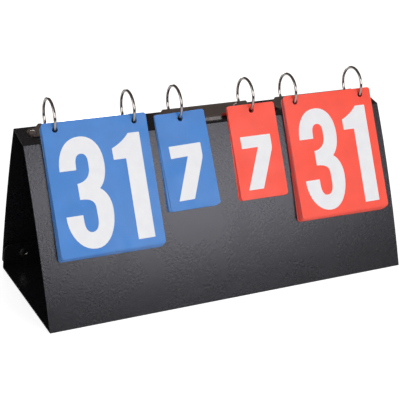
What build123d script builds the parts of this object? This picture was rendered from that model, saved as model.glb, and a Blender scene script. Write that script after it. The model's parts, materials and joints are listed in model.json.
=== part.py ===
from build123d import *
from math import acos, asin, atan2, cos, degrees, hypot, pi, radians, sin, sqrt, tan
import os

# Tabletop flip scoreboard: one creased plastic sheet folded into a tent, three
# two-ring binder mechanisms riveted to its narrow top, and four hanging card stacks.
# X runs along the board, Y from the card side to the back, Z up. The origin is the
# middle of the underside. Outlines are drawn in the Y-Z section and extruded along X.

# ---- folded sheet -----------------------------------------------------------------
board_width = 395.0
base_depth = 160.0
sheet = 1.2
spine_depth = 32.0
spine_tilt = 13.7
spine_height = 169.65
front_bow = 3.4
back_bow = 3.4
flap_height = 30.0
back_edge_height = 5.5
panel_corner = 4.0
flap_corner = 8.0
crease_radius = 1.0
crease_gap = 0.3
mitre_gap = 0.2

# ---- snap fasteners on the closure flap -------------------------------------------
snap_inset = 23.0
snap_height = 16.5
snap_lap = 3.0
snap_radius = 6.0
snap_flange = 0.8
snap_gap = 0.3
snap_seat_gap = 0.03
snap_post_radius = 1.9
stud_radius = 3.2
stud_height = 0.7
socket_radius = 3.9
socket_depth = 0.8
cap_height = 1.9
eyelet_height = 1.1
eyelet_bore = 2.6

# ---- ring mechanisms --------------------------------------------------------------
mechanism_pitch = 130.1
mechanism_shift = 3.4
mechanism_offset = 4.05
ring_pitch = 80.0
ring_radius = 17.45
wire_radius = 1.4
foot_radius = 8.0
foot_reach = 7.52
foot_height = 1.93
foot_end_turn = 88.0
tip_gap = 0.3
tip_pin_radius = 0.65
tip_pin_length = 0.9

cover_length = 120.0
cover_half_width = 12.0
cover_flange = 2.0
cover_crown = 7.0
cover_sheet = 0.8
tongue_length = 9.0
tongue_half_width = 8.0
tongue_corner = 5.0
slope_length = 7.0
ledge_width = 1.3
ledge_height = 0.7
slot_floor = 0.9
slot_clearance = 0.5

blade_sheet = 1.0
blade_length = 90.0
blade_pivot = 10.4
blade_pivot_height = 1.7
blade_dip = 4.2
blade_centre_gap = 0.5

rivet_inset = 4.5
rivet_shank_radius = 1.9
rivet_head_radius = 3.75
rivet_head_height = 1.8
rivet_tail_radius = 3.25
rivet_tail_height = 1.0
rivet_clearance = 0.1

# ---- card stacks ------------------------------------------------------------------
card_lean = 24.5
card_rest_gap = 0.4
card_corner = 3.2
card_sheet = 0.35
card_gap = 0.3
bundle_gap = 0.06
hole_radius = 2.8
hang_gap = 0.3
stack_drift = 1.3
blue_set_tilt = 1.5
score_card_width = 106.0
score_card_height = 128.6
score_stack_depth = 5.2
score_bundles = 7
score_hole_edge = 6.9
set_card_width = 54.0
set_card_height = 96.5
set_stack_depth = 1.6
set_bundles = 2
set_hole_edge = 6.3

# ---- values worked out from the sizes above ---------------------------------------
half_sheet = sheet / 2
half_width = board_width / 2
reach = 2 * board_width
spine_along = (cos(radians(spine_tilt)), sin(radians(spine_tilt)))
spine_up = (-spine_along[1], spine_along[0])
mechanism_x = [mechanism_shift + k * mechanism_pitch for k in (-1, 0, 1)]
sides = ("left", "centre", "right")


def on_spine(along, up):
    """Y-Z point at a distance along the spine and above its outer face."""
    return (
        along * spine_along[0] + up * spine_up[0],
        spine_height + along * spine_along[1] + up * spine_up[1],
    )


def polar(centre, radius, angle):
    return (centre[0] + radius * cos(angle), centre[1] + radius * sin(angle))


def direction(start, end):
    return atan2(end[1] - start[1], end[0] - start[0])


def bow_radius(chord, bow):
    return (chord * chord / 4 + bow * bow) / (2 * bow)


def meet(first, first_radius, second, second_radius):
    """Crossing of two circles, on the right of the line from first to second."""
    gap = hypot(second[0] - first[0], second[1] - first[1])
    along = (gap * gap + first_radius**2 - second_radius**2) / (2 * gap)
    across = sqrt(first_radius**2 - along**2)
    heading = direction(first, second)
    return polar(polar(first, along, heading), across, heading - pi / 2)


def half_turn(first, second):
    """Half the left turn from one heading to another."""
    return ((second - first) % (2 * pi)) / 2


def curved_strip(centre, radius, start, end):
    """Section of a bowed sheet about its middle radius, from one angle to another."""
    middle = (start + end) / 2
    outer_radius = radius + half_sheet
    inner_radius = radius - half_sheet
    outer = ThreePointArc(*[polar(centre, outer_radius, a) for a in (start, middle, end)])
    inner = ThreePointArc(*[polar(centre, inner_radius, a) for a in (end, middle, start)])
    ends = [Line(outer @ 1, inner @ 0), Line(inner @ 1, outer @ 0)]
    return make_face([outer, ends[0], inner, ends[1]])


def left_of(point, heading):
    """Half plane on the left of a heading through a point."""
    turn = Rot(0, 0, degrees(heading))
    return Pos(*point) * turn * Pos(0, reach / 2) * Rectangle(reach, reach)


def across_board(section, width=board_width):
    return extrude(Plane.YZ * section, amount=width / 2, both=True)


def bead(point):
    return Pos(*point) * Circle(half_sheet)


def crease_shaving(corner, mitre, half_angle):
    """What rounding takes off the outer corner where two sheets meet at a crease."""
    centre = polar(corner, crease_radius / sin(half_angle), mitre)
    corner_disc = Pos(*corner) * Circle(crease_radius / tan(half_angle))
    return corner_disc - Pos(*centre) * Circle(crease_radius)


# ---- crease lines and panel arcs --------------------------------------------------
front_foot = (-base_depth / 2, 0.0)
back_foot = (base_depth / 2, sheet)
front_top = on_spine(-spine_depth / 2, 0)
back_top = on_spine(spine_depth / 2, -half_sheet)

front_chord = hypot(front_top[0] - front_foot[0], front_top[1] - front_foot[1])
front_radius = bow_radius(front_chord, front_bow)
front_centre = meet(front_foot, front_radius, front_top, front_radius)
front_mid_radius = front_radius - half_sheet
front_top_angle = direction(front_centre, front_top) % (2 * pi)
front_foot_angle = direction(front_centre, front_foot) % (2 * pi)

back_chord = hypot(back_top[0] - back_foot[0], back_top[1] - back_foot[1])
back_radius = bow_radius(back_chord, back_bow)
flap_inner_radius = back_radius - half_sheet - snap_lap - sheet
flap_radius = flap_inner_radius + half_sheet
back_centre = meet(back_top, back_radius, back_foot, flap_inner_radius)
back_top_angle = direction(back_centre, back_top)
back_edge_angle = asin((back_edge_height - back_centre[1]) / back_radius)
flap_foot_angle = direction(back_centre, back_foot)
flap_top_angle = flap_foot_angle + flap_height / flap_radius
snap_angle = flap_foot_angle + snap_height / flap_radius
snap_x = [-half_width + snap_inset, half_width - snap_inset]

top_half_angle = half_turn(front_top_angle + pi / 2, radians(spine_tilt))
top_mitre = front_top_angle + pi / 2 + top_half_angle
top_shaving = crease_shaving(front_top, top_mitre, top_half_angle)
foot_mitre = half_turn(0, front_foot_angle - pi / 2)
foot_shaving = crease_shaving(front_foot, foot_mitre, foot_mitre)
flap_half_angle = half_turn(flap_foot_angle + pi / 2, pi)
flap_mitre = flap_foot_angle + pi / 2 + flap_half_angle
flap_outer_corner = polar(back_foot, -sheet / sin(flap_half_angle), flap_mitre)
flap_shaving = crease_shaving(flap_outer_corner, flap_mitre, flap_half_angle)


def snap_plane(x, radius):
    """Plane on the flap or back panel at a snap, facing out of the tent."""
    y, z = polar(back_centre, radius, snap_angle)
    facing = (0, cos(snap_angle), sin(snap_angle))
    return Plane(origin=(x, y, z), x_dir=(1, 0, 0), z_dir=facing)


def disc(plane, radius, height):
    return extrude(plane * Circle(radius), amount=height)


def snap_holes(panel, inner_radius):
    bore = snap_post_radius + rivet_clearance
    for x in snap_x:
        panel -= disc(snap_plane(x, inner_radius - sheet), bore, 3 * sheet)
    return panel


def round_corners(panel, edge_point, radius):
    """Rounds the two free corners of a panel that lie at a point of its section."""
    short = [e for e in panel.edges() if e.length < 2 * sheet]
    y, z = edge_point

    def off_corner(edge):
        middle = edge @ 0.5
        return hypot(middle.Y - y, middle.Z - z) + abs(abs(middle.X) - half_width)

    return fillet(sorted(short, key=off_corner)[:2], radius)


# ---- sheet panels -----------------------------------------------------------------
def front_panel():
    past = 4 * sheet / front_radius
    strip = curved_strip(
        front_centre, front_mid_radius, front_top_angle - past, front_foot_angle + past
    )
    strip -= left_of(front_top, top_mitre)
    inset = polar(front_foot, mitre_gap / 2, foot_mitre + pi / 2)
    strip &= left_of(inset, foot_mitre)
    return across_board(strip - top_shaving - foot_shaving)


def spine_panel():
    along = radians(spine_tilt)
    start = polar(front_top, -4 * sheet, along)
    length = spine_depth + 4 * sheet
    middle = polar(polar(start, length / 2, along), -half_sheet, along + pi / 2)
    strip = Pos(*middle) * Rot(0, 0, spine_tilt) * Rectangle(length, sheet)
    strip &= left_of(front_top, top_mitre)
    spine = across_board(strip - top_shaving + bead(back_top))
    for x in mechanism_x:
        for end in (-1, 1):
            spine -= rivet_place(x, end) * Pos(0, 0, -sheet) * Cylinder(
                rivet_shank_radius + rivet_clearance, 4 * sheet
            )
    return spine


def back_panel():
    cut_back = (half_sheet + crease_gap) / back_radius
    strip = curved_strip(
        back_centre, back_radius, back_edge_angle, back_top_angle - cut_back
    )
    panel = across_board(strip)
    lower_edge = polar(back_centre, back_radius, back_edge_angle)
    panel = round_corners(panel, lower_edge, panel_corner)
    return snap_holes(panel, back_radius)


def bottom_panel():
    length = base_depth + 8 * sheet
    strip = Pos(0, half_sheet) * Rectangle(length, sheet)
    front_inset = polar(front_foot, -mitre_gap / 2, foot_mitre + pi / 2)
    strip -= left_of(front_inset, foot_mitre)
    back_inset = polar(back_foot, mitre_gap / 2, flap_mitre + pi / 2)
    strip &= left_of(back_inset, flap_mitre)
    return across_board(strip - foot_shaving - flap_shaving)


def closure_flap():
    past = 4 * sheet / flap_radius
    strip = curved_strip(
        back_centre, flap_radius, flap_foot_angle - past, flap_top_angle
    )
    inset = polar(back_foot, -mitre_gap / 2, flap_mitre + pi / 2)
    strip -= left_of(inset, flap_mitre)
    flap = across_board(strip - flap_shaving)
    top_edge = polar(back_centre, flap_radius, flap_top_angle)
    flap = round_corners(flap, top_edge, flap_corner)
    return snap_holes(flap, flap_radius)


# ---- snap fasteners ---------------------------------------------------------------
def spherical_cap(radius, height):
    """Low dome standing on the local X-Y plane."""
    bulge = (radius * radius + height * height) / (2 * height)
    shoulder = (radius / 2, sqrt(bulge * bulge - radius * radius / 4) - bulge + height)
    rim = ThreePointArc((radius, 0), shoulder, (0, height))
    profile = make_face([Line((0, 0), (radius, 0)), rim, Line((0, height), (0, 0))])
    return revolve(Plane.XZ * profile, axis=Axis.Z)


def snap_stud(x):
    seat = snap_plane(x, flap_radius + half_sheet)
    dome = seat * Pos(0, 0, snap_flange) * spherical_cap(stud_radius, stud_height)
    return disc(seat, snap_radius, snap_flange) + dome


def snap_post(x):
    seat = snap_plane(x, flap_radius - half_sheet - snap_seat_gap)
    flange = seat * Rot(180, 0, 0) * spherical_cap(snap_radius, eyelet_height)
    bowl = seat * Rot(180, 0, 0) * Pos(0, 0, snap_flange / 2)
    flange -= bowl * Cylinder(eyelet_bore, eyelet_height, align=(Align.CENTER, Align.CENTER, Align.MIN))
    return flange + disc(seat, snap_post_radius, sheet)


def snap_socket(x):
    seat = snap_plane(x, back_radius - half_sheet - snap_seat_gap)
    height = snap_lap - snap_flange - snap_gap - snap_seat_gap
    body = disc(seat, snap_radius, -height)
    mouth = seat * Pos(0, 0, -height) * spherical_cap(socket_radius, socket_depth)
    return body - mouth


def snap_cap(x):
    seat = snap_plane(x, back_radius + half_sheet)
    dome = seat * spherical_cap(snap_radius, cap_height)
    return dome + disc(seat, snap_post_radius, -sheet)


# ---- ring mechanisms --------------------------------------------------------------
def mechanism_place(x):
    """Frame on the spine's outer face: X along the board, Y up the spine, Z off it."""
    y, z = on_spine(mechanism_offset, 0)
    return Pos(x, y, z) * Rot(spine_tilt, 0, 0)


def rivet_place(x, end):
    return mechanism_place(x) * Pos(end * (cover_length / 2 - rivet_inset), 0, 0)


def arched_bar(half, flange, crown, floor):
    """Solid bar with upright sides and an arched top, along the whole cover."""
    sides_and_floor = Polyline((-half, flange), (-half, floor), (half, floor), (half, flange))
    arch = ThreePointArc((half, flange), (0, crown), (-half, flange))
    section = Plane.YZ * make_face([sides_and_floor, arch])
    return extrude(section, amount=cover_length / 2, both=True)


def sloped_ends(start, run, height, low, floor):
    """Solid seen from the side: full height in the middle, down a slope to low ends."""
    end = cover_length / 2 + cover_sheet
    half = [(end, floor), (end, low), (start + run, low), (start, height)]
    points = half + [(-x, z) for x, z in reversed(half)]
    profile = Plane.XZ * make_face(Polyline(*points, close=True))
    return extrude(profile, amount=2 * cover_half_width, both=True)


def cover_outline():
    end = cover_length / 2
    neck = end - tongue_length
    quarter = [(neck - slope_length, cover_half_width), (neck, tongue_half_width), (end, tongue_half_width)]
    right = quarter + [(x, -y) for x, y in reversed(quarter)]
    points = right + [(-x, -y) for x, y in right]
    outline = make_face(Polyline(*points, close=True))
    tips = [v for v in outline.vertices() if abs(v.X) > end - tongue_corner / 2]
    return extrude(fillet(tips, tongue_corner), amount=2 * cover_crown)


def ring_cover():
    neck = cover_length / 2 - tongue_length
    shell = arched_bar(cover_half_width, cover_flange, cover_crown, 0)
    shell &= sloped_ends(neck - slope_length, slope_length, cover_crown, cover_sheet, -sheet)
    shell &= cover_outline()
    inner_half = cover_half_width - cover_sheet
    hollow = arched_bar(inner_half, cover_flange, cover_crown - cover_sheet, -sheet)
    inner_start = neck - slope_length - cover_sheet / 2
    hollow &= sloped_ends(inner_start, slope_length, cover_crown - cover_sheet, -sheet / 2, -sheet)
    shell -= hollow
    ledge_length = 2 * inner_start
    for side in (-1, 1):
        ledge_y = side * (inner_half - ledge_width / 2 + cover_sheet / 4)
        ledge = Box(ledge_length, ledge_width + cover_sheet / 2, ledge_height)
        shell += Pos(0, ledge_y, ledge_height / 2) * ledge
        slot_width = 2 * (wire_radius + slot_clearance)
        slot_start = foot_reach - 2 * slot_clearance
        slot_depth = 2 * cover_half_width - slot_start
        slot = Box(slot_width, slot_depth, cover_crown, align=(Align.CENTER, Align.CENTER, Align.MIN))
        for x in (-ring_pitch / 2, ring_pitch / 2):
            shell -= Pos(x, side * (slot_start + slot_depth / 2), slot_floor) * slot
    for end in (-1, 1):
        hole_x = end * (cover_length / 2 - rivet_inset)
        shell -= Pos(hole_x, 0, 0) * Cylinder(rivet_shank_radius + rivet_clearance, 4 * sheet)
    return shell


def cover_rivet():
    """Rivet through the cover's tongue and the spine, with its tail clinched inside."""
    head = Pos(0, 0, cover_sheet) * spherical_cap(rivet_head_radius, rivet_head_height)
    shank_length = cover_sheet + sheet
    shank = Pos(0, 0, cover_sheet - shank_length / 2) * Cylinder(rivet_shank_radius, shank_length)
    tail = Pos(0, 0, -sheet - rivet_tail_height / 2) * Cylinder(rivet_tail_radius, rivet_tail_height)
    return head + shank + tail


blade_width = blade_pivot - blade_centre_gap / 2
blade_frame = Pos(0, blade_pivot, blade_pivot_height) * Rot(blade_dip, 0, 0)
foot_centre = polar((foot_reach, foot_height), foot_radius, pi - radians(foot_end_turn))
ring_turn = degrees(acos(foot_centre[0] / (ring_radius - foot_radius)))
ring_rise = foot_centre[1] + (ring_radius - foot_radius) * sin(radians(ring_turn))


def rear_blade():
    """Hinge plate that turns on its rounded outer edge, with its inner edge dipped."""
    plate = Pos(0, -blade_width / 2, 0) * Box(blade_length, blade_width, blade_sheet)
    rounded_edge = Rot(0, 90, 0) * Cylinder(blade_sheet / 2, blade_length)
    return blade_frame * (plate + rounded_edge)


def rear_half_ring():
    """Half ring from its tip over the board down to a foot flat on the rear blade."""
    tip_angle = 90 - degrees(tip_gap / 2 / ring_radius)
    hoop = CenterArc((0, ring_rise), ring_radius, tip_angle, -ring_turn - tip_angle)
    foot = CenterArc(foot_centre, foot_radius, -ring_turn, ring_turn - foot_end_turn)
    path = Plane.YZ * Wire([hoop, foot])
    wire = sweep(Plane(origin=path @ 0, z_dir=path % 0) * Circle(wire_radius), path=path)
    under = Box(4 * wire_radius, blade_width + blade_sheet / 2, ring_rise)
    top_of_blade = Pos(0, -blade_width / 2 + blade_sheet / 4, blade_sheet / 2 - ring_rise / 2)
    return wire - blade_frame * top_of_blade * under


def tip_cone(length, clearance):
    """Cone along +Y at the place where the two tips of a ring meet."""
    place = Pos(0, -tip_gap / 2, ring_rise + ring_radius) * Rot(-90, 0, 0)
    root = tip_pin_radius + clearance
    bottom = (Align.CENTER, Align.CENTER, Align.MIN)
    return place * Cone(root, root / 2, length, align=bottom)


def front_half_ring():
    return mirror(rear_half_ring(), about=Plane.XZ) + tip_cone(tip_pin_length, 0)


def socketed_rear_half_ring():
    return rear_half_ring() - tip_cone(tip_pin_length + tip_gap, tip_gap)


def ring_pair(half_ring):
    return [Pos(x, 0, 0) * half_ring for x in (-ring_pitch / 2, ring_pitch / 2)]


# ---- card stacks ------------------------------------------------------------------
ring_centre = on_spine(mechanism_offset, ring_rise)
card_normal_angle = pi - radians(card_lean)
card_down = (cos(card_normal_angle + pi / 2), sin(card_normal_angle + pi / 2))
rest_depth = (
    (front_top[0] - ring_centre[0]) * cos(card_normal_angle)
    + (front_top[1] - ring_centre[1]) * sin(card_normal_angle)
)


def wire_crossing(depth):
    """Where the ring's wire passes a card plane at a distance from the ring centre."""
    drop = sqrt(ring_radius**2 - depth**2)
    foot = polar(ring_centre, depth, card_normal_angle)
    return (foot[0] + drop * card_down[0], foot[1] + drop * card_down[1])


def card_outline(depth, size, hole_edge, hole_x):
    """Card face about the wire crossing: rounded corners and holes that hang on it."""
    width, height = size
    drop = sqrt(ring_radius**2 - depth**2)
    wire_half_height = wire_radius * ring_radius / drop
    hole_y = -(hole_radius - wire_half_height - hang_gap)
    card = Pos(0, hole_y + hole_edge - height / 2) * RectangleRounded(width, height, card_corner)
    for x in hole_x:
        card -= Pos(x, hole_y) * Circle(hole_radius)
    return card


def card_slab(centre_x, depth, thickness, size, hole_edge, hole_x, drift=0, tilt=0):
    """Cards from one depth to a lesser one, sheared along the wire they hang on."""
    start = wire_crossing(depth)
    end = wire_crossing(depth - thickness)
    facing = (0, cos(card_normal_angle), sin(card_normal_angle))
    plane = Plane(origin=(centre_x - drift, *start), x_dir=(1, 0, 0), z_dir=facing)
    hole_x = [x + drift for x in hole_x]
    shear = Vector(0, end[0] - start[0], end[1] - start[1])
    outline = plane * Rot(0, 0, tilt) * card_outline(depth, size, hole_edge, hole_x)
    return extrude(outline, amount=shear.length, dir=shear.normalized())


def card_stack(centre_x, tilt, size, stack_depth, bundles, hole_edge, hole_x):
    """Front card, and the cards behind it as bundles that drift a little aside."""
    front_depth = rest_depth + card_rest_gap + stack_depth
    front = card_slab(centre_x, front_depth, card_sheet, size, hole_edge, hole_x, tilt=tilt)
    pack_depth = stack_depth - card_sheet - card_gap
    pitch = pack_depth / bundles
    pack = []
    for k in range(bundles):
        depth = front_depth - card_sheet - card_gap - k * pitch
        drift = stack_drift * k / bundles
        thickness = pitch - bundle_gap
        pack.append(card_slab(centre_x, depth, thickness, size, hole_edge, hole_x, drift))
    return front, pack


score_size = (score_card_width, score_card_height)
set_size = (set_card_width, set_card_height)
ring_x = (-ring_pitch / 2, ring_pitch / 2)
score_plan = (score_size, score_stack_depth, score_bundles, score_hole_edge, ring_x)
set_plan = (set_size, set_stack_depth, set_bundles, set_hole_edge, (0,))
stacks = {
    "blue_score": (mechanism_x[0], 0, score_plan),
    "blue_set": (mechanism_x[1] - ring_pitch / 2, blue_set_tilt, set_plan),
    "red_set": (mechanism_x[1] + ring_pitch / 2, 0, set_plan),
    "red_score": (mechanism_x[2], 0, score_plan),
}


# ---- the assembly -----------------------------------------------------------------
def group(solids):
    return Compound(children=[part.solid() for part in solids])


nodes = {
    "front_panel": front_panel(),
    "spine_panel": spine_panel(),
    "back_panel": back_panel(),
    "bottom_panel": bottom_panel(),
    "closure_flap": closure_flap(),
    "snap_studs": group(snap_stud(x) for x in snap_x),
    "snap_posts": group(snap_post(x) for x in snap_x),
    "snap_sockets": group(snap_socket(x) for x in snap_x),
    "snap_caps": group(snap_cap(x) for x in snap_x),
}

cover = ring_cover()
rivet = cover_rivet()
blade = rear_blade()
front_ring = front_half_ring()
rear_ring = socketed_rear_half_ring()
for side, x in zip(sides, mechanism_x):
    place = mechanism_place(x)
    nodes[f"ring_cover_{side}"] = place * cover
    nodes[f"cover_rivets_{side}"] = group(rivet_place(x, end) * rivet for end in (-1, 1))
    nodes[f"front_blade_{side}"] = place * mirror(blade, about=Plane.XZ)
    nodes[f"rear_blade_{side}"] = place * blade
    nodes[f"front_half_rings_{side}"] = group(place * ring for ring in ring_pair(front_ring))
    nodes[f"rear_half_rings_{side}"] = group(place * ring for ring in ring_pair(rear_ring))

for name, (x, tilt, plan) in stacks.items():
    front, pack = card_stack(x, tilt, *plan)
    nodes[f"{name}_front_card"] = front
    nodes[f"{name}_card_pack"] = group(pack)

os.makedirs("parts", exist_ok=True)
for name, shape in nodes.items():
    export_step(shape, f"parts/{name}.step")

print("ring centre y, z:", [round(v, 3) for v in ring_centre])
print("front foot crease y, z:", front_foot, "flap crease y, z:", back_foot)
print("back top crease y, z:", [round(v, 3) for v in back_top])
pivots = [on_spine(mechanism_offset + s * blade_pivot, blade_pivot_height) for s in (-1, 1)]
print("blade pivots y, z:", [[round(v, 3) for v in p] for p in pivots])
print("nodes:", len(nodes))
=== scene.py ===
import json
import math
import random

import bmesh
import bpy
from mathutils import Matrix, Vector


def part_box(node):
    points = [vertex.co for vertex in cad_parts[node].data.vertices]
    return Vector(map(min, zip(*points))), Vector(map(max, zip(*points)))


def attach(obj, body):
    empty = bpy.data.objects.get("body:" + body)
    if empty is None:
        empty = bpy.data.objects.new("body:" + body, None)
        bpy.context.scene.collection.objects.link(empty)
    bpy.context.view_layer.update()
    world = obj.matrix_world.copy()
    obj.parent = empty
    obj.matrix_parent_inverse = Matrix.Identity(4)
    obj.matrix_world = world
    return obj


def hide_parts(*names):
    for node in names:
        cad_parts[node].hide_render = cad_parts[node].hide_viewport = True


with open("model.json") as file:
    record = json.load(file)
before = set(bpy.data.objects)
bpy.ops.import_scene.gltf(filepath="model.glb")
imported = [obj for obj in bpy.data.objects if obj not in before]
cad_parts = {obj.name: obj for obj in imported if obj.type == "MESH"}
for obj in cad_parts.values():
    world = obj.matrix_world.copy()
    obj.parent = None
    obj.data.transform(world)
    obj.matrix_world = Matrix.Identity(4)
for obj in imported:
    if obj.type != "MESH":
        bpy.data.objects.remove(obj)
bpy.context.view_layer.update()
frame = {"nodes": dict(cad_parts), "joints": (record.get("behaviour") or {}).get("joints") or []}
nodes = frame["nodes"]
joints = {joint["name"]: joint for joint in frame["joints"]}
print("frame loaded:", len(nodes), "nodes")

millimetre = 0.001
acrossBoard = Vector((1, 0, 0))
white = (1, 1, 1, 1)


def addPiece(name, data):
    piece = bpy.data.objects.new(name, data)
    bpy.context.scene.collection.objects.link(piece)
    return piece


def addMeshPiece(name, mesh):
    data = bpy.data.meshes.new(name)
    mesh.to_mesh(data)
    mesh.free()
    return addPiece(name, data)


# shader helpers: a node with its settings and inputs in one call

def feed(tree, socket, value):
    if isinstance(value, bpy.types.NodeSocket):
        tree.links.new(value, socket)
    else:
        socket.default_value = value


def addNode(tree, kind, inputs=None, **settings):
    node = tree.nodes.new("ShaderNode" + kind)
    for key, value in settings.items():
        setattr(node, key, value)
    for key, value in (inputs or {}).items():
        feed(tree, node.inputs[key], value)
    return node


def maths(tree, operation, first, second=0.0, clamp=False):
    node = addNode(tree, "Math", {0: first, 1: second}, operation=operation, use_clamp=clamp)
    return node.outputs[0]


def addShare(tree, total, value, share):
    return maths(tree, "ADD", total, maths(tree, "MULTIPLY", value, share))


def span(tree, value, low, high, lowOut=0.0, highOut=1.0):
    keys = {"Value": value, "From Min": low, "From Max": high, "To Min": lowOut, "To Max": highOut}
    return addNode(tree, "MapRange", keys).outputs["Result"]


def blendColour(tree, amount, first, second):
    node = addNode(tree, "Mix", {"Factor": amount}, data_type="RGBA")
    feed(tree, node.inputs[6], first)  # the sockets 6, 7 and 2 are the ones for colours
    feed(tree, node.inputs[7], second)
    return node.outputs[2]


def shaded(colour, share):
    return tuple(part * share for part in colour[:3]) + (1,)


def noise(tree, vector, scale, detail, warp=0.0):
    keys = {"Vector": vector, "Scale": scale, "Detail": detail, "Distortion": warp}
    return addNode(tree, "TexNoise", keys).outputs["Fac"]


def bump(tree, height, strength, depth):
    keys = {"Height": height, "Strength": strength, "Distance": depth}
    return addNode(tree, "Bump", keys).outputs[0]


def stretched(tree, vector, scale):
    return addNode(tree, "Mapping", {"Vector": vector, "Scale": scale}).outputs[0]


def coordinate(tree, kind, axis):
    way = addNode(tree, "TexCoord").outputs[kind]
    return addNode(tree, "SeparateXYZ", {0: way}).outputs[axis]


def backdropRays(tree):
    # masks for the camera's rays and for rays from metal and glass, which see the backdrop too
    path = addNode(tree, "LightPath").outputs
    mirrorRay = maths(tree, "MAXIMUM", path["Is Glossy Ray"], path["Is Transmission Ray"])
    return path["Is Camera Ray"], mirrorRay


def startGroup(name, inputs, outputs):
    group = bpy.data.node_groups.new(name, "ShaderNodeTree")
    for label, value in inputs.items():
        kind = "NodeSocketVector" if label == "Vector" else "NodeSocketFloat"
        socket = group.interface.new_socket(label, in_out="INPUT", socket_type=kind)
        if value is not None:
            socket.default_value = value
    for label in outputs:
        group.interface.new_socket(label, in_out="OUTPUT", socket_type="NodeSocketFloat")
    entry = group.nodes.new("NodeGroupInput")
    leave = group.nodes.new("NodeGroupOutput")
    return group, entry.outputs, leave.inputs


def useGroup(tree, group, vector, values):
    node = tree.nodes.new("ShaderNodeGroup")
    node.node_tree = group
    feed(tree, node.inputs["Vector"], vector)
    for label, value in values.items():
        node.inputs[label].default_value = value
    return node.outputs


def startMaterial(name):
    material = bpy.data.materials.new(name)
    material.use_nodes = True
    tree = material.node_tree
    tree.nodes.clear()
    shader = addNode(tree, "BsdfPrincipled")
    addNode(tree, "OutputMaterial", {"Surface": shader.outputs[0]})
    coords = addNode(tree, "TexCoord").outputs["Object"]
    return material, tree, shader.inputs, coords


# effects that several finishes share

grainShape = {
    "fuzzScale": 2.3,  # the scales of fuzz and swell are shares of the pebbles' scale
    "fuzzDetail": 2.0,
    "fuzzHeight": 0.5,
    "swellScale": 0.5,
    "swellDetail": 1.0,
    "swellHeight": 1.6,
    "mottleDetail": 4.0,
    "mottleRange": (0.3, 0.7),
}


def embossedGrain():
    # height of the leathery pebbles of a pressed sheet, and a slow mottle as a mask from 0 to 1
    inputs = {"Vector": None, "Pebbles": 1500.0, "Mottle Scale": 40.0}
    group, given, result = startGroup("embossedGrain", inputs, ["Height", "Mottle"])
    vector, pebbles, shape = given["Vector"], given["Pebbles"], grainShape
    cells = addNode(group, "TexVoronoi", {"Vector": vector, "Scale": pebbles}, feature="SMOOTH_F1")
    fuzzScale = maths(group, "MULTIPLY", pebbles, shape["fuzzScale"])
    swellScale = maths(group, "MULTIPLY", pebbles, shape["swellScale"])
    fuzz = noise(group, vector, fuzzScale, shape["fuzzDetail"])
    swell = noise(group, vector, swellScale, shape["swellDetail"])
    height = addShare(group, cells.outputs["Distance"], fuzz, shape["fuzzHeight"])
    feed(group, result["Height"], addShare(group, height, swell, shape["swellHeight"]))
    slow = noise(group, vector, given["Mottle Scale"], shape["mottleDetail"])
    feed(group, result["Mottle"], span(group, slow, *shape["mottleRange"]))
    return group


markShape = {
    "smudgeDetail": 5.0,
    "smudgeWarp": 0.6,
    "smudgeRange": (0.42, 0.68),
    "scratchDetail": 1.0,
    "scratchWarp": 2.5,
    "scratchWidth": 0.008,
    "scratchPatches": (0.5, 0.6),
}


def handlingMarks():
    # smudges from hands and a few hairline scratches, both as masks from 0 to 1
    inputs = {"Vector": None, "Smudge Scale": 22.0, "Scratch Scale": 160.0}
    group, given, result = startGroup("handlingMarks", inputs, ["Smudges", "Scratches"])
    vector, shape = given["Vector"], markShape
    cloud = noise(group, vector, given["Smudge Scale"], shape["smudgeDetail"], shape["smudgeWarp"])
    feed(group, result["Smudges"], span(group, cloud, *shape["smudgeRange"]))
    bent = noise(group, vector, given["Scratch Scale"], shape["scratchDetail"], shape["scratchWarp"])
    line = maths(group, "ABSOLUTE", maths(group, "SUBTRACT", bent, 0.5))  # nought along a contour
    thin = span(group, line, 0.0, shape["scratchWidth"], 1.0, 0.0)
    patches = span(group, cloud, *shape["scratchPatches"])
    feed(group, result["Scratches"], maths(group, "MULTIPLY", thin, patches))
    return group


lineShape = {"stretch": (0.02, 1.0, 1.0), "detail": 3.0}


def rollingLines():
    # height of the fine lines that rolling or drawing leaves in metal, along X
    inputs = {"Vector": None, "Line Scale": 3000.0}
    group, given, result = startGroup("rollingLines", inputs, ["Height"])
    along = stretched(group, given["Vector"], lineShape["stretch"])
    feed(group, result["Height"], noise(group, along, given["Line Scale"], lineShape["detail"]))
    return group


grainGroup = embossedGrain()
marksGroup = handlingMarks()
linesGroup = rollingLines()
print("shared effects made")


# finishes

boardFinish = {
    "hollowShade": (0.0018, 0.0018, 0.0022, 1),
    "topLight": (0.0066, 0.0066, 0.0078, 1),
    "pebbles": 900.0,
    "shadeToLightHeights": (0.9, 1.6),  # grain heights from painted shade in the hollows to painted light on the pebble tops
    "relief": 0.8,
    "reliefDepth": 0.00006,
    # painted bluish tint of the lamps' light in the board's reflections
    "paintedLampTint": (0.90, 0.89, 1.0, 1),
    "specular": 0.53,
    "roughness": (0.25, 0.285),
    "smudgeScale": 14.0,
    "scratchScale": 90.0,
    "scratchGloss": 0.012,
    "speckleHeights": (0.7, 1.7),  # grain heights from glossier to rougher
    "speckle": 0.020,
    "cutFacing": (0.6, 0.9),  # how far a cut end faces along the board's width
    "cutRoughness": 0.45,
}


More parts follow.
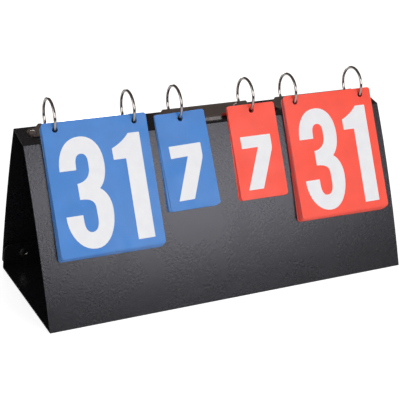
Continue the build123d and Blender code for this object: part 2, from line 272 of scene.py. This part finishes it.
def boardPlastic():
    look = boardFinish
    material, tree, shader, coords = startMaterial("boardPlastic")
    height = useGroup(tree, grainGroup, coords, {"Pebbles": look["pebbles"]})["Height"]
    scales = {"Smudge Scale": look["smudgeScale"], "Scratch Scale": look["scratchScale"]}
    marks = useGroup(tree, marksGroup, coords, scales)
    # pebble hollows painted darker and pebble tops paler: painted shade and light of the embossed grain
    litTops = span(tree, height, *look["shadeToLightHeights"])
    feed(tree, shader["Base Color"], blendColour(tree, litTops, look["hollowShade"], look["topLight"]))
    rough = span(tree, marks["Smudges"], 0, 1, *look["roughness"])
    rough = addShare(tree, rough, marks["Scratches"], -look["scratchGloss"])
    speckle = span(tree, height, *look["speckleHeights"], -look["speckle"], look["speckle"])
    facing = maths(tree, "ABSOLUTE", coordinate(tree, "Normal", "X"))
    sawn = span(tree, facing, *look["cutFacing"], 0.0, look["cutRoughness"])  # matt cut ends
    rough = maths(tree, "ADD", rough, speckle)
    feed(tree, shader["Roughness"], maths(tree, "ADD", rough, sawn, clamp=True))
    feed(tree, shader["Normal"], bump(tree, height, look["relief"], look["reliefDepth"]))
    shader["Specular IOR Level"].default_value = look["specular"]
    # the board's reflections are tinted bluish here: a painted tint of the lamps' light
    shader["Specular Tint"].default_value = look["paintedLampTint"]
    return material


cardColours = {
    "blue": {
        "face": (0.040, 0.205, 0.585, 1),
        "edge": (0.100, 0.170, 0.300, 1),
        "edgeLight": (0.30, 0.42, 0.60, 1),
    },
    "red": {
        "face": (0.960, 0.074, 0.038, 1),
        "edge": (0.380, 0.075, 0.100, 1),
        "edgeLight": (0.88, 0.42, 0.46, 1),
    },
}
faceFinish = {
    "mottleScale": 60.0,
    "mottleShade": 0.90,
    "pebbles": 2600.0,
    "relief": 0.10,
    "reliefDepth": 0.00003,
    "specular": 0.36,
    "roughness": (0.36, 0.46),
    "smudgeScale": 30.0,
}


def cardFace(team):
    look = faceFinish
    material, tree, shader, coords = startMaterial(team + "CardFace")
    scales = {"Pebbles": look["pebbles"], "Mottle Scale": look["mottleScale"]}
    grain = useGroup(tree, grainGroup, coords, scales)
    marks = useGroup(tree, marksGroup, coords, {"Smudge Scale": look["smudgeScale"]})
    colour = cardColours[team]["face"]
    deeper = shaded(colour, look["mottleShade"])
    feed(tree, shader["Base Color"], blendColour(tree, grain["Mottle"], deeper, colour))
    feed(tree, shader["Roughness"], span(tree, marks["Smudges"], 0, 1, *look["roughness"]))
    feed(tree, shader["Normal"], bump(tree, grain["Height"], look["relief"], look["reliefDepth"]))
    shader["Specular IOR Level"].default_value = look["specular"]
    return material


edgeFinish = {
    "lean": 24.5,  # degrees that the stacks lean back at rest
    "layers": (0.1, 1.0, 0.04),
    "scale": 520.0,
    "detail": 2.0,
    "paleRange": (0.38, 0.66),
    "roughRange": (0.3, 0.7),
    "roughness": (0.55, 0.70),
    "relief": 0.4,
    "reliefDepth": 0.00004,
}


def cardEdge(team):
    # a cut edge shows the paler core of the sheet, and each leaf took the cut a little differently
    look, colours = edgeFinish, cardColours[team]
    material, tree, shader, coords = startMaterial(team + "CardEdge")
    turn = {"Vector": coords, "Angle": math.radians(look["lean"])}
    leaning = addNode(tree, "VectorRotate", turn, rotation_type="X_AXIS").outputs[0]
    cut = noise(tree, stretched(tree, leaning, look["layers"]), look["scale"], look["detail"])
    paler = span(tree, cut, *look["paleRange"])
    feed(tree, shader["Base Color"], blendColour(tree, paler, colours["edge"], colours["edgeLight"]))
    feed(tree, shader["Roughness"], span(tree, cut, *look["roughRange"], *look["roughness"]))
    feed(tree, shader["Normal"], bump(tree, cut, look["relief"], look["reliefDepth"]))
    return material


inkFinish = {
    "dull": (0.735, 0.735, 0.765, 1),
    "bright": (0.78, 0.78, 0.80, 1),
    "mottleScale": 90.0,
    "pebbles": 2600.0,
    "relief": 0.12,
    "reliefDepth": 0.00003,
    "specular": 0.4,
    "roughness": (0.40, 0.48),
}


def paleInk():
    look = inkFinish
    material, tree, shader, coords = startMaterial("paleInk")
    scales = {"Pebbles": look["pebbles"], "Mottle Scale": look["mottleScale"]}
    grain = useGroup(tree, grainGroup, coords, scales)
    feed(tree, shader["Base Color"], blendColour(tree, grain["Mottle"], look["dull"], look["bright"]))
    feed(tree, shader["Roughness"], span(tree, grain["Mottle"], 0, 1, *look["roughness"]))
    feed(tree, shader["Normal"], bump(tree, grain["Height"], look["relief"], look["reliefDepth"]))
    shader["Specular IOR Level"].default_value = look["specular"]
    return material


metalFinishes = {
    "ringWire": {"colour": (0.50, 0.455, 0.435, 1), "roughness": (0.06, 0.14), "lines": 5200.0,
                 "relief": 0.03},
    "coverPlate": {"colour": (0.52, 0.475, 0.45, 1), "roughness": (0.10, 0.20), "lines": 3600.0,
                   "relief": 0.06},
    "rivetHead": {"colour": (0.62, 0.585, 0.56, 1), "roughness": (0.10, 0.20), "lines": 4200.0,
                  "relief": 0.05},
    "bladeStrip": {"colour": (0.52, 0.51, 0.50, 1), "roughness": (0.28, 0.42), "lines": 2600.0,
                   "relief": 0.12},
    "snapPart": {"colour": (0.62, 0.60, 0.57, 1), "roughness": (0.16, 0.30), "lines": 4200.0,
                 "relief": 0.05},
}
metalWear = {
    "smudgeScale": 120.0,
    "smudgeShade": 0.82,
    "scratchScale": 420.0,
    "scratchRoughness": 0.12,
    "reliefDepth": 0.00003,
}
coverCrumple = {"from": 0.44, "scale": 240.0, "detail": 1.0, "depth": 0.0070}


def nippedEnds(tree, coords):
    # dents at both ends of a cover, where the press pinched it; an end is 0.5 from the middle
    fromMiddle = maths(tree, "ABSOLUTE", maths(tree, "SUBTRACT", coordinate(tree, "Generated", "X"), 0.5))
    nipped = span(tree, fromMiddle, coverCrumple["from"], 0.5)
    dents = noise(tree, coords, coverCrumple["scale"], coverCrumple["detail"])
    return bump(tree, maths(tree, "MULTIPLY", nipped, dents), 1.0, coverCrumple["depth"])


def platedMetal(name):
    look = metalFinishes[name]
    material, tree, shader, coords = startMaterial(name)
    lines = useGroup(tree, linesGroup, coords, {"Line Scale": look["lines"]})
    scales = {"Smudge Scale": metalWear["smudgeScale"], "Scratch Scale": metalWear["scratchScale"]}
    marks = useGroup(tree, marksGroup, coords, scales)
    dulled = shaded(look["colour"], metalWear["smudgeShade"])
    feed(tree, shader["Base Color"], blendColour(tree, marks["Smudges"], look["colour"], dulled))
    rough = span(tree, marks["Smudges"], 0, 1, *look["roughness"])
    rough = addShare(tree, rough, marks["Scratches"], metalWear["scratchRoughness"])
    feed(tree, shader["Roughness"], rough)
    relief = {"Height": lines["Height"], "Strength": look["relief"], "Distance": metalWear["reliefDepth"]}
    if name == "coverPlate":
        relief["Normal"] = nippedEnds(tree, coords)
    feed(tree, shader["Normal"], addNode(tree, "Bump", relief).outputs[0])
    shader["Metallic"].default_value = 1.0
    return material


finishes = {"boardPlastic": boardPlastic(), "paleInk": paleInk()}
for team in cardColours:
    finishes[team + "Face"] = cardFace(team)
    finishes[team + "Edge"] = cardEdge(team)
for name in metalFinishes:
    finishes[name] = platedMetal(name)

nodeFinishes = {
    "panel": "boardPlastic",
    "flap": "boardPlastic",
    "half_rings": "ringWire",
    "ring_cover": "coverPlate",
    "rivets": "rivetHead",
    "blade": "bladeStrip",
    "snap": "snapPart",
}
for nodeName, piece in nodes.items():
    for key, finish in nodeFinishes.items():
        if key in nodeName:
            piece.data.materials.clear()
            piece.data.materials.append(finishes[finish])
print("finishes made:", len(finishes))


# thin web that the sheet keeps in the flap's crease

creaseWeb = {"radius": 0.21, "flatness": 0.8, "steps": 12, "endInset": 0.3}  # millimetres


def buildCreaseWeb():
    # flattened round bar along the joint, a little shorter than the flap
    low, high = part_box("closure_flap")
    centre = Vector(joints["flap_fold"]["pos_m"])
    inset = creaseWeb["endInset"] * millimetre
    mesh = bmesh.new()
    ends = []
    for x in (low.x + inset, high.x - inset):
        loop = []
        for step in range(creaseWeb["steps"]):
            angle = 2 * math.pi * step / creaseWeb["steps"]
            flattened = 1 - (1 - creaseWeb["flatness"]) * math.sin(angle) ** 2
            reach = creaseWeb["radius"] * millimetre * flattened
            y = centre.y + reach * math.cos(angle)
            z = centre.z + reach * math.sin(angle)
            loop.append(mesh.verts.new((x, y, z)))
        ends.append(loop)
    rims = [mesh.edges.new(pair) for loop in ends for pair in zip(loop, loop[1:] + loop[:1])]
    bmesh.ops.bridge_loops(mesh, edges=rims)
    for loop in ends:
        mesh.faces.new(loop)
    bmesh.ops.recalc_face_normals(mesh, faces=mesh.faces)
    web = addMeshPiece("flap_crease_web", mesh)
    web.data.materials.append(finishes["boardPlastic"])
    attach(web, "base")


buildCreaseWeb()
print("crease web made")


# card stacks, in millimetres and degrees

cardFinish = {
    "cornerRadius": 2.6,
    "cornerSteps": 6,
    "holeSteps": 28,
    "holeRadius": 2.95,
    "wireRadius": 1.4,
    "hangGap": 0.22,  # air between the wire and the hole that hangs on it
    "cardSheet": 0.35,
    "leafSheet": 0.2,
    "rowStep": 10.0,
    "curl": 3.0,  # of the last leaf, on a card as high as curlHeight
    "curlHeight": 130.0,
    "stray": {"turn": 0.05, "shift": 0.18, "depth": 0.25},  # degrees, millimetres, leaf pitches
}
cardSizes = {
    "score": {"width": 106.0, "height": 128.6, "holeEdge": 6.9, "holes": (-40.0, 40.0), "leaves": 14},
    "set": {"width": 54.0, "height": 96.5, "holeEdge": 6.3, "holes": (0.0,), "leaves": 3},
}
stacks = {
    "blue_score": {"team": "blue", "size": "score", "rings": "left", "shown": "31", "next": "30",
                   "tilt": 0.0, "drift": -0.45, "fan": 0.50},
    "blue_set": {"team": "blue", "size": "set", "rings": "centre", "shown": "7", "next": "6",
                 "tilt": 1.5, "drift": -0.5, "fan": 0.5},
    "red_set": {"team": "red", "size": "set", "rings": "centre", "shown": "7", "next": "6",
                "tilt": 0.0, "drift": -0.6, "fan": 0.9},
    "red_score": {"team": "red", "size": "score", "rings": "right", "shown": "31", "next": "30",
                  "tilt": 0.0, "drift": -0.6, "fan": 0.80},
}


def faceDirection(piece):
    # a card faces the way its largest face on the players' side does
    shown = [face for face in piece.data.polygons if face.normal.y < 0]
    return max(shown, key=lambda face: face.area).normal.copy()


def measureStack(name, rings):
    # everything a leaf needs from the frame: its facing, the depths of the stack and its ring
    outward = faceDirection(nodes[name + "_front_card"])
    centre = Vector(joints[name + "_pack_flip"]["pos_m"])
    depths = {}
    for part in ("_front_card", "_card_pack"):
        depths[part] = [(vertex.co - centre).dot(outward) for vertex in nodes[name + part].data.vertices]
    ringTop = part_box("rear_half_rings_" + rings)[1].z - centre.z
    return {
        "outward": outward,
        "down": acrossBoard.cross(outward),
        "centre": centre,
        "ringRadius": ringTop - cardFinish["wireRadius"] * millimetre,
        "face": max(depths["_front_card"]),
        "packFace": max(depths["_card_pack"]),
        "packBack": min(depths["_card_pack"]),
    }


def cardLoops(size):
    # loops of (x, y) in millimetres about the hole line: the rounded outline, then each hole
    radius, steps = cardFinish["cornerRadius"], cardFinish["cornerSteps"]
    middle = size["holeEdge"] - size["height"] / 2
    outline = []
    for turn, (sideX, sideY) in enumerate(((1, 1), (-1, 1), (-1, -1), (1, -1))):
        cornerX = sideX * (size["width"] / 2 - radius)
        cornerY = middle + sideY * (size["height"] / 2 - radius)
        for step in range(steps + 1):
            angle = math.radians(90 * (turn + step / steps))
            outline.append((cornerX + radius * math.cos(angle), cornerY + radius * math.sin(angle)))
    loops = [outline]
    bore = cardFinish["holeRadius"]
    for holeX in size["holes"]:
        angles = [2 * math.pi * step / cardFinish["holeSteps"] for step in range(cardFinish["holeSteps"])]
        loops.append([(holeX + bore * math.cos(angle), bore * math.sin(angle)) for angle in angles])
    return loops


def leafMesh(name, loops, thickness, place, curl):
    # thin card from its loops, laid by place and bent back by curl millimetres at its lower edge
    mesh = bmesh.new()
    edges = []
    for loop in loops:
        ring = [mesh.verts.new((x, y, 0)) for x, y in loop]
        edges += [mesh.edges.new(pair) for pair in zip(ring, ring[1:] + ring[:1])]
    bmesh.ops.triangle_fill(mesh, use_beauty=True, edges=edges)
    lowest = min(vertex.co.y for vertex in mesh.verts)
    row = -cardFinish["rowStep"]
    while row > lowest:
        parts = mesh.verts[:] + mesh.edges[:] + mesh.faces[:]
        bmesh.ops.bisect_plane(mesh, geom=parts, plane_co=(0, row, 0), plane_no=(0, 1, 0))
        row -= cardFinish["rowStep"]
    made = bmesh.ops.extrude_face_region(mesh, geom=mesh.faces[:], use_keep_orig=True)
    for part in made["geom"]:
        if isinstance(part, bmesh.types.BMVert):
            part.co.z -= thickness
    bmesh.ops.recalc_face_normals(mesh, faces=mesh.faces)
    for face in mesh.faces:
        face.material_index = 0 if abs(face.normal.z) > 0.5 else 1  # the flat sides, then the cut edge
    for vertex in mesh.verts:
        fall = max(0.0, vertex.co.y / lowest)
        vertex.co.z -= curl * fall * fall
    bmesh.ops.transform(mesh, matrix=place, verts=mesh.verts)
    return addMeshPiece(name, mesh)


def placeOnRing(facts, depth, shift, turn, pivotX):
    # frame of a leaf at a distance from the ring centre: origin on its hole line, Y up the card, turned
    # about the hole at pivotX
    outward, down = facts["outward"], facts["down"]
    radius = facts["ringRadius"]
    drop = math.sqrt(radius * radius - depth * depth)
    wireHalf = cardFinish["wireRadius"] * millimetre * radius / drop
    play = (cardFinish["holeRadius"] - cardFinish["hangGap"]) * millimetre - wireHalf
    hang = math.sqrt(max(0.0, play * play - shift * shift))  # the round hole climbs as it slides aside
    origin = facts["centre"] + outward * depth + down * (drop + hang) + acrossBoard * shift
    axes = Matrix((acrossBoard, -down, outward)).transposed().to_4x4()
    pivot = Matrix.Translation((pivotX, hang / millimetre, 0))
    swing = pivot @ Matrix.Rotation(turn, 4, "Z") @ pivot.inverted()
    return Matrix.Translation(origin) @ axes @ Matrix.Scale(millimetre, 4) @ swing


# digit outlines in millimetres from the card's top left corner, Y down: corners as (x, y), curves as
# (handle, handle, end)

digitOutlines = {
    "three": [
        (11.0, 47.3), (11.2, 29.0, 19.5, 16.0, 34.5, 16.0), (47.5, 16.0, 56.1, 27.0, 56.1, 44.2),
        (56.1, 53.5, 53.5, 62.8, 47.9, 67.3), (54.0, 71.0, 58.0, 79.0, 58.0, 89.2),
        (58.0, 107.0, 50.0, 123.4, 35.7, 123.4), (20.0, 123.4, 10.3, 107.0, 10.6, 90.3), (27.2, 90.3),
        (27.2, 96.0), (27.2, 103.0, 29.5, 107.4, 34.0, 107.4), (38.8, 107.4, 41.6, 103.0, 41.6, 95.0),
        (41.4, 86.0), (41.4, 78.5, 37.0, 75.8, 26.6, 75.7), (26.4, 60.4),
        (33.0, 59.9, 40.1, 56.0, 40.1, 46.0), (40.1, 41.0), (40.1, 35.5, 38.0, 32.4, 33.9, 32.4),
        (29.8, 32.4, 27.8, 36.0, 27.6, 42.0), (27.4, 47.3),
    ],
    "one": [
        (66.1, 42.3), (65.9, 31.2), (73.0, 28.3, 79.5, 24.0, 84.5, 18.2), (96.1, 18.2), (95.9, 121.2),
        (78.6, 121.2), (78.8, 42.3),
    ],
    "nought": [
        (54.5, 43.0), (54.5, 27.0, 62.0, 16.0, 77.0, 16.0), (92.0, 16.0, 99.5, 27.0, 99.5, 43.0),
        (99.5, 96.4), (99.5, 112.4, 92.0, 123.4, 77.0, 123.4), (62.0, 123.4, 54.5, 112.4, 54.5, 96.4),
    ],
    "noughtBore": [
        (70.5, 42.0), (70.5, 36.0, 72.5, 32.4, 77.0, 32.4), (81.5, 32.4, 83.5, 36.0, 83.5, 42.0),
        (83.5, 97.4), (83.5, 103.4, 81.5, 107.4, 77.0, 107.4), (72.5, 107.4, 70.5, 103.4, 70.5, 97.4),
    ],
    "seven": [
        (9.1, 32.7), (43.7, 32.7), (43.7, 43.0), (43.7, 46.5, 43.3, 48.0, 42.5, 50.0), (26.9, 87.5),
        (10.0, 87.5), (27.8, 44.6), (9.4, 44.9),
    ],
    "six": [
        (31.6, 49.0), (31.6, 46.0), (31.6, 43.4, 30.0, 42.4, 27.3, 42.4),
        (24.6, 42.4, 23.0, 43.8, 23.0, 47.0), (23.0, 56.5), (25.0, 54.6, 27.6, 53.6, 30.6, 53.6),
        (38.5, 53.6, 43.0, 58.6, 43.0, 66.0), (43.0, 72.5), (43.0, 82.0, 37.0, 87.7, 27.0, 87.7),
        (17.0, 87.7, 11.0, 82.0, 11.0, 72.5), (11.0, 48.0), (11.0, 38.3, 17.2, 32.5, 27.3, 32.5),
        (37.4, 32.5, 43.2, 37.8, 43.2, 46.5), (43.2, 49.0),
    ],
    "sixBore": [
        (23.0, 67.5), (23.0, 64.4, 24.4, 63.0, 27.0, 63.0), (29.8, 63.0, 31.2, 64.4, 31.2, 67.5),
        (31.2, 73.4), (31.2, 76.6, 29.8, 78.2, 27.0, 78.2), (24.4, 78.2, 23.0, 76.6, 23.0, 73.4),
    ],
}
numberParts = {  # outlines of each number, with a shift to the right
    "31": (("three", 0.0), ("one", 0.0)),
    "30": (("three", -3.2), ("nought", 0.0), ("noughtBore", 0.0)),
    "7": (("seven", 0.0),),
    "6": (("six", 0.0), ("sixBore", 0.0)),
}
inkShape = {"sheet": 0.02, "softness": 0.6, "roundness": 0.55, "curveSteps": 10}


def isCurve(step):
    return len(step) == 6


def softened(outline):
    # cuts each corner between two straight sides with a small curve
    soft = []
    roundness = inkShape["roundness"]
    for index, step in enumerate(outline):
        following = outline[(index + 1) % len(outline)]
        if isCurve(step) or isCurve(following):
            soft.append(step)
            continue
        corner = Vector(step)
        before = corner + (Vector(outline[index - 1][-2:]) - corner).normalized() * inkShape["softness"]
        after = corner + (Vector(following) - corner).normalized() * inkShape["softness"]
        handles = (*before.lerp(corner, roundness), *after.lerp(corner, roundness))
        soft += [tuple(before), (*handles, *after)]
    return soft


def numberCurve(name, number):
    # flat curve with a Bezier spline for each outline, in millimetres, Y turned up
    curve = bpy.data.curves.new(name, "CURVE")
    curve.dimensions = "2D"
    curve.fill_mode = "BOTH"
    curve.extrude = inkShape["sheet"] / 2
    curve.resolution_u = inkShape["curveSteps"]
    for part, shift in numberParts[number]:
        outline = softened(digitOutlines[part])
        spline = curve.splines.new("BEZIER")
        spline.use_cyclic_u = True
        spline.bezier_points.add(len(outline) - 1)
        for point, step in zip(spline.bezier_points, outline):
            point.handle_left_type = point.handle_right_type = "FREE"
            point.co = point.handle_left = point.handle_right = (step[-2] + shift, -step[-1], 0)
        for index, step in enumerate(outline):
            if isCurve(step):
                spline.bezier_points[index - 1].handle_right = (step[0] + shift, -step[1], 0)
                spline.bezier_points[index].handle_left = (step[2] + shift, -step[3], 0)
    return curve


def printNumber(name, number, place):
    # ink of a number as thin printed solids on a card face; place maps the card's top left corner
    source = addPiece(name + "_curve", numberCurve(name, number))
    bpy.context.view_layer.update()
    evaluated = source.evaluated_get(bpy.context.evaluated_depsgraph_get())
    data = bpy.data.meshes.new_from_object(evaluated)
    bpy.data.objects.remove(source)
    data.transform(place)
    data.name = name
    data.materials.clear()
    data.materials.append(finishes["paleInk"])
    return addPiece(name, data)


def buildStack(name, plan):
    size = cardSizes[plan["size"]]
    facts = measureStack(name, plan["rings"])
    luck = random.Random(name)
    loops = cardLoops(size)
    topCorner = Matrix.Translation((-size["width"] / 2, size["holeEdge"], inkShape["sheet"] / 2))
    place = placeOnRing(facts, facts["face"], 0.0, math.radians(plan["tilt"]), 0.0)
    card = leafMesh(name + "_number_card", loops, cardFinish["cardSheet"], place, 0.0)
    ink = printNumber(name + "_number", plan["shown"], place @ topCorner)
    lastSheet = cardFinish["leafSheet"] * millimetre
    last = size["leaves"] - 1
    pitch = (facts["packFace"] - facts["packBack"] - lastSheet) / last
    leaves = []
    for index in range(size["leaves"]):
        share = index / last
        inner = 0 < index < last  # the first and the last leaf keep their places
        stray = {key: luck.uniform(-reach, reach) for key, reach in cardFinish["stray"].items()}
        turn = math.radians(stray["turn"] - plan["fan"] * share)
        shift = (plan["drift"] * share + stray["shift"] * inner) * millimetre
        depth = facts["packFace"] - (index + stray["depth"] * inner) * pitch
        leafPlace = placeOnRing(facts, depth, shift, turn, size["holes"][-1])
        curl = cardFinish["curl"] * share * (size["height"] / cardFinish["curlHeight"]) ** 2
        leafName = f"{name}_leaf_{index + 1}"
        leaves.append(leafMesh(leafName, loops, cardFinish["leafSheet"], leafPlace, curl))
        if index == 0:
            nextInk = printNumber(name + "_next_number", plan["next"], leafPlace @ topCorner)
    for piece in [card] + leaves:
        piece.data.materials.append(finishes[plan["team"] + "Face"])
        piece.data.materials.append(finishes[plan["team"] + "Edge"])
    for piece in (card, ink):
        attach(piece, name + "_front")
    for piece in leaves + [nextInk]:
        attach(piece, name + "_pack")
    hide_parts(name + "_front_card")
    for leaf in leaves:
        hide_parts(name + "_card_pack")


for name, plan in stacks.items():
    buildStack(name, plan)
print("card stacks made:", len(stacks))


# floor, light and camera

studio = {
    "floorHalf": 8.0,
    "floorParts": 8,
    "cloudScale": 3.0,
    "cloudDetail": 3.0,
    "tableRoughness": 0.8,
    "tableColours": ((0.53, 0.53, 0.53, 1), (0.57, 0.57, 0.57, 1)),
    "beyondColour": (0.12, 0.12, 0.12, 1),
    "tableEdge": (0.75, 1.10),  # metres from the middle, where the table fades into what is beyond
    "floorLift": (0.72, 1.0),  # glow of the table and of the floor beyond, as the camera sees it
    "mirrorShare": (0.30, 0.02),  # the same as metal and gloss see it
    "ambient": 0.38,
    "ceilingTone": (1.0, 0.84, 0.78, 1),
    "ceilingGlow": 0.12,
    "horizon": (0.03, 0.16),  # heights of a ray over which the mirrored room brightens to the ceiling
    "lampTarget": (0, 0, 0.12),
}
lamps = {  # degrees, metres and watts
    "front_softbox": {"azimuth": 23.3, "elevation": 21.6, "distance": 3.2, "size": (1.24, 1.41),
                      "power": 29.5, "mirrored": True},
    "high_softbox": {"azimuth": 50.0, "elevation": 46.0, "distance": 2.4, "size": (0.7, 0.7),
                     "power": 12.0, "mirrored": False},
    "camera_band": {"azimuth": -25.0, "elevation": 21.0, "distance": 2.0, "size": (1.8, 1.05),
                    "power": 9.0, "mirrored": True},
    "left_band": {"azimuth": -75.0, "elevation": 21.0, "distance": 2.0, "size": (1.8, 1.05),
                  "power": 11.0, "mirrored": True},
    "rear_fill": {"azimuth": 165.0, "elevation": 38.0, "distance": 2.4, "size": (1.2, 0.8),
                  "power": 9.0, "mirrored": False},
    "rim_spot": {"azimuth": 168.0, "elevation": 6.0, "distance": 2.4, "size": (0.8, 0.4),
                 "power": 6.0, "mirrored": True},
}


def makeFloor():
    mesh = bmesh.new()
    parts = studio["floorParts"]
    bmesh.ops.create_grid(mesh, x_segments=parts, y_segments=parts, size=studio["floorHalf"])
    floor = addMeshPiece("studio_floor", mesh)
    material, tree, shader, coords = startMaterial("floorPaper")
    cloud = noise(tree, coords, studio["cloudScale"], studio["cloudDetail"])
    reach = addNode(tree, "VectorMath", {0: coords}, operation="LENGTH").outputs["Value"]
    beyond = span(tree, reach, *studio["tableEdge"])
    table = blendColour(tree, cloud, *studio["tableColours"])
    feed(tree, shader["Base Color"], blendColour(tree, beyond, table, studio["beyondColour"]))
    shader["Roughness"].default_value = studio["tableRoughness"]
    shader["Specular IOR Level"].default_value = 0.0
    cameraRay, mirrorRay = backdropRays(tree)
    shader["Emission Color"].default_value = white
    lift = maths(tree, "MULTIPLY", cameraRay, span(tree, beyond, 0, 1, *studio["floorLift"]))
    mirrored = maths(tree, "MULTIPLY", mirrorRay, span(tree, beyond, 0, 1, *studio["mirrorShare"]))
    feed(tree, shader["Emission Strength"], maths(tree, "MAXIMUM", lift, mirrored))
    floor.data.materials.append(material)


def makeWorld():
    # the camera sees a white backdrop; metal and gloss mirror a dark room with a faintly lit ceiling
    world = bpy.data.worlds.new("studio")
    bpy.context.scene.world = world
    world.use_nodes = True
    tree = world.node_tree
    tree.nodes.clear()
    height = coordinate(tree, "Generated", "Z")
    cameraRay, mirrorRay = backdropRays(tree)
    glow = span(tree, height, *studio["horizon"], studio["mirrorShare"][1], studio["ceilingGlow"])
    seen = maths(tree, "ADD", maths(tree, "MULTIPLY", mirrorRay, glow), cameraRay)
    unseen = maths(tree, "SUBTRACT", 1.0, maths(tree, "MAXIMUM", mirrorRay, cameraRay))
    strength = addShare(tree, seen, unseen, studio["ambient"])
    tone = blendColour(tree, mirrorRay, white, studio["ceilingTone"])
    sky = addNode(tree, "Background", {"Color": tone, "Strength": strength})
    addNode(tree, "OutputWorld", {"Surface": sky.outputs[0]})


def makeLamp(name, plan):
    # azimuth turns from straight in front of the cards towards the right
    lamp = bpy.data.lights.new(name, "AREA")
    lamp.shape = "RECTANGLE"
    lamp.size, lamp.size_y = plan["size"]
    lamp.energy = plan["power"]
    turn, rise = math.radians(plan["azimuth"]), math.radians(plan["elevation"])
    target = Vector(studio["lampTarget"])
    way = Vector((math.sin(turn) * math.cos(rise), -math.cos(turn) * math.cos(rise), math.sin(rise)))
    place = target + way * plan["distance"]
    aimed = (target - place).to_track_quat("-Z", "Y").to_matrix().to_4x4()
    piece = addPiece(name, lamp)
    piece.matrix_world = Matrix.Translation(place) @ aimed
    piece.visible_glossy = plan["mirrored"]


cameraPlace = {
    "eye": (-0.46274, -0.93680, 0.47903),
    "yaw": 26.001,
    "pitch": 21.052,
    "roll": 1.260,
    "lens": 96.05,
    "sensor": 36.0,
    "nearest": 0.01,
}


def makeCamera():
    yaw, pitch, roll = (math.radians(cameraPlace[key]) for key in ("yaw", "pitch", "roll"))
    ahead = Vector((math.sin(yaw) * math.cos(pitch), math.cos(yaw) * math.cos(pitch), -math.sin(pitch)))
    right = Vector((math.cos(yaw), -math.sin(yaw), 0))
    up = right.cross(ahead)
    tiltedRight = right * math.cos(roll) + up * math.sin(roll)
    tiltedUp = up * math.cos(roll) - right * math.sin(roll)
    lens = bpy.data.cameras.new("photo_camera")
    lens.lens = cameraPlace["lens"]
    lens.sensor_width = cameraPlace["sensor"]
    lens.clip_start = cameraPlace["nearest"]
    camera = addPiece("photo_camera", lens)
    axes = Matrix((tiltedRight, tiltedUp, -ahead)).transposed().to_4x4()
    camera.matrix_world = Matrix.Translation(cameraPlace["eye"]) @ axes
    bpy.context.scene.camera = camera


makeFloor()
makeWorld()
for name, plan in lamps.items():
    makeLamp(name, plan)
makeCamera()
bpy.context.scene.view_settings.view_transform = "Standard"
print("studio made")
